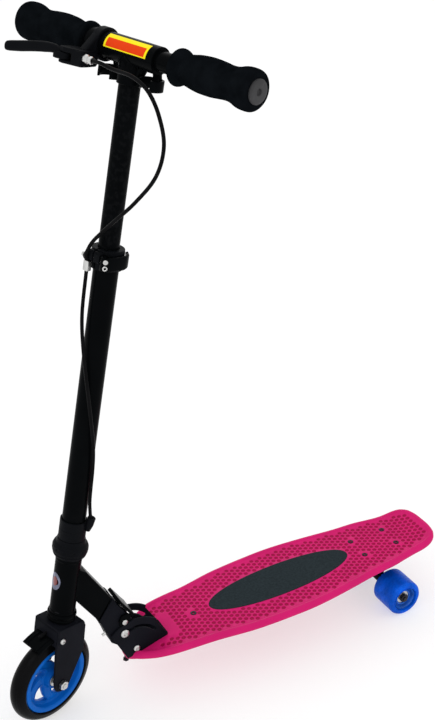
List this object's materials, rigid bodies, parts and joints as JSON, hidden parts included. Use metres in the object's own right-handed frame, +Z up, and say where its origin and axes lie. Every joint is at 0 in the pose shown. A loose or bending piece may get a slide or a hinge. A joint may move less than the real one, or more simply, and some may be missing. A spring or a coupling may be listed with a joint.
{
  "type": "kick scooter",
  "caption": "Folding three-wheel kick scooter with a long pink deck, a steered front wheel, a telescoping handlebar with pull-out grips and a hand brake",
  "frame": {"origin": "centre of the bounding box seen from above, on the ground under the wheels", "axes": "+X forward, +Y to the rider's left, +Z up"},
  "size_m": [0.7651, 0.4014, 1.0107],
  "materials": {
    "pink_plastic": "moulded polypropylene, satin",
    "black_plastic": "satin moulded",
    "grey_print": "printed pad",
    "black_paint": "semi-gloss",
    "black_alloy": "black paint, semi-gloss",
    "zinc_steel": "zinc plated",
    "dark_steel": "black oxide",
    "rubber": "matte",
    "tyre_rubber": "matte",
    "foam": "closed-cell foam, matte",
    "blue_rim": "moulded",
    "blue_wheel": "cast, slightly translucent",
    "core_plastic": "moulded",
    "cable_jacket": "extruded"
  },
  "bodies": {
    "deck_body": {"deck": "pink_plastic", "deck_pad": "grey_print", "hinge_bracket": "black_paint", "deck_front_bolt": "dark_steel", "bracket_bolt": "zinc_steel", "pivot_bolt": "zinc_steel", "truck_baseplate": "black_paint", "truck_bolt_1": "dark_steel", "truck_bolt_2": "dark_steel", "truck_bolt_3": "dark_steel", "truck_bolt_4": "dark_steel", "kingpin": "zinc_steel", "bushing_top": "rubber", "bushing_bottom": "rubber"},
    "truck": {"truck_hanger": "black_paint", "rear_axle": "zinc_steel"},
    "rear_wheel_left": {"rear_tyre_left": "blue_wheel", "rear_core_left": "core_plastic", "rear_bearing_left": "zinc_steel"},
    "rear_wheel_right": {"rear_tyre_right": "blue_wheel", "rear_core_right": "core_plastic", "rear_bearing_right": "zinc_steel"},
    "neck": {"neck_frame": "black_alloy", "hinge_block": "black_alloy", "stop_screw": "zinc_steel", "lock_bolt": "zinc_steel", "lever_pin": "zinc_steel", "lower_cup": "zinc_steel"},
    "release": {"release_lever": "black_paint"},
    "steering": {"fork": "black_alloy", "column_tube": "black_alloy", "locknut_ring": "black_plastic", "cable_port_sleeve": "black_plastic", "height_clamp": "black_plastic", "clamp_skewer": "zinc_steel", "cable_guide": "zinc_steel", "front_axle": "zinc_steel", "axle_spacer_left": "black_plastic", "axle_spacer_right": "black_plastic", "brake_bolt": "zinc_steel", "brake_cable": "cable_jacket"},
    "front_wheel": {"front_tyre": "tyre_rubber", "front_rim": "blue_rim", "front_bearing_left": "zinc_steel", "front_bearing_right": "zinc_steel"},
    "shoe": {"brake_shoe": "black_paint"},
    "clamp": {"clamp_lever": "black_paint"},
    "handlebar": {"upper_tube": "black_alloy", "tee_bar": "black_alloy", "lever_perch": "black_plastic", "cable_adjuster": "zinc_steel"},
    "brake": {"brake_lever": "black_paint"},
    "grip_left": {"grip_tube_left": "black_alloy", "grip_foam_left": "foam", "grip_plug_left": "black_plastic"},
    "grip_right": {"grip_tube_right": "black_alloy", "grip_foam_right": "foam", "grip_plug_right": "black_plastic"},
    "button_left": {"snap_button_left": "zinc_steel"},
    "button_right": {"snap_button_right": "zinc_steel"}
  },
  "joints": [
    {"name": "neck_fold", "type": "hinge", "parent": "deck_body", "child": "neck", "pos_m": [0.1789, 0, 0.08], "axis": [0, -1, 0], "range_deg": [0, 79]},
    {"name": "release_lever_lift", "type": "hinge", "parent": "neck", "child": "release", "pos_m": [0.1959, 0, 0.1364], "axis": [0, -1, 0], "range_deg": [0, 20], "stiffness_Nm_per_rad": 0.6, "springref_deg": -11.46},
    {"name": "steer", "type": "hinge", "parent": "neck", "child": "steering", "pos_m": [0.3203, 0, 0], "axis": [-0.1903, 0, 0.9817], "range_deg": [-78.4, 41.6]},
    {"name": "front_wheel_spin", "type": "hinge", "parent": "steering", "child": "front_wheel", "pos_m": [0.31294, 0.00218, 0.07239], "axis": [-0.3099, 0.9489, -0.0601], "continuous": true},
    {"name": "height_slide", "type": "slide", "parent": "steering", "child": "handlebar", "axis": [-0.1903, 0, 0.9817], "range_m": [-0.2, 0], "deforming": ["brake_cable"]},
    {"name": "clamp_lever_open", "type": "hinge", "parent": "steering", "child": "clamp", "pos_m": [0.19651, 0.02687, 0.71348], "axis": [0.1903, 0, -0.9817], "range_deg": [0, 150]},
    {"name": "brake_lever_pull", "type": "hinge", "parent": "handlebar", "child": "brake", "pos_m": [0.20033, -0.05412, 0.96276], "axis": [0.1903, 0, -0.9817], "range_deg": [0, 14], "stiffness_Nm_per_rad": 0.6, "springref_deg": -5.73},
    {"name": "brake_shoe_press", "type": "hinge", "parent": "steering", "child": "shoe", "pos_m": [0.30712, 0.00533, 0.15225], "axis": [-0.3099, 0.9489, -0.0601], "range_deg": [0, 7], "stiffness_Nm_per_rad": 0.2, "springref_deg": -5.73},
    {"name": "grip_left_pull", "type": "slide", "parent": "handlebar", "child": "grip_left", "axis": [-0.3099, 0.9489, -0.0601], "range_m": [0, 0.09]},
    {"name": "grip_right_pull", "type": "slide", "parent": "handlebar", "child": "grip_right", "axis": [0.3099, -0.9489, 0.0601], "range_m": [0, 0.09]},
    {"name": "button_left_press", "type": "slide", "parent": "grip_left", "child": "button_left", "axis": [0.9315, 0.3156, 0.1806], "range_m": [0, 0.006], "stiffness_N_per_m": 300, "springref_m": -0.002},
    {"name": "button_right_press", "type": "slide", "parent": "grip_right", "child": "button_right", "axis": [0.9315, 0.3156, 0.1806], "range_m": [0, 0.006], "stiffness_N_per_m": 300, "springref_m": -0.002},
    {"name": "truck_tilt", "type": "hinge", "parent": "deck_body", "child": "truck", "pos_m": [-0.2566, 0, 0.064], "axis": [-0.9529, 0, 0.3032], "range_deg": [-10, 10], "stiffness_Nm_per_rad": 100, "deforming": ["bushing_top", "bushing_bottom"]},
    {"name": "rear_wheel_left_spin", "type": "hinge", "parent": "truck", "child": "rear_wheel_left", "pos_m": [-0.2836, 0.0554, 0.0305], "axis": [0, 1, 0], "continuous": true},
    {"name": "rear_wheel_right_spin", "type": "hinge", "parent": "truck", "child": "rear_wheel_right", "pos_m": [-0.2836, -0.0554, 0.0305], "axis": [0, 1, 0], "continuous": true}
  ],
  "couplings": [
    {"joint": "brake_shoe_press", "follows": "brake_lever_pull", "ratio": 0.5}
  ]
}
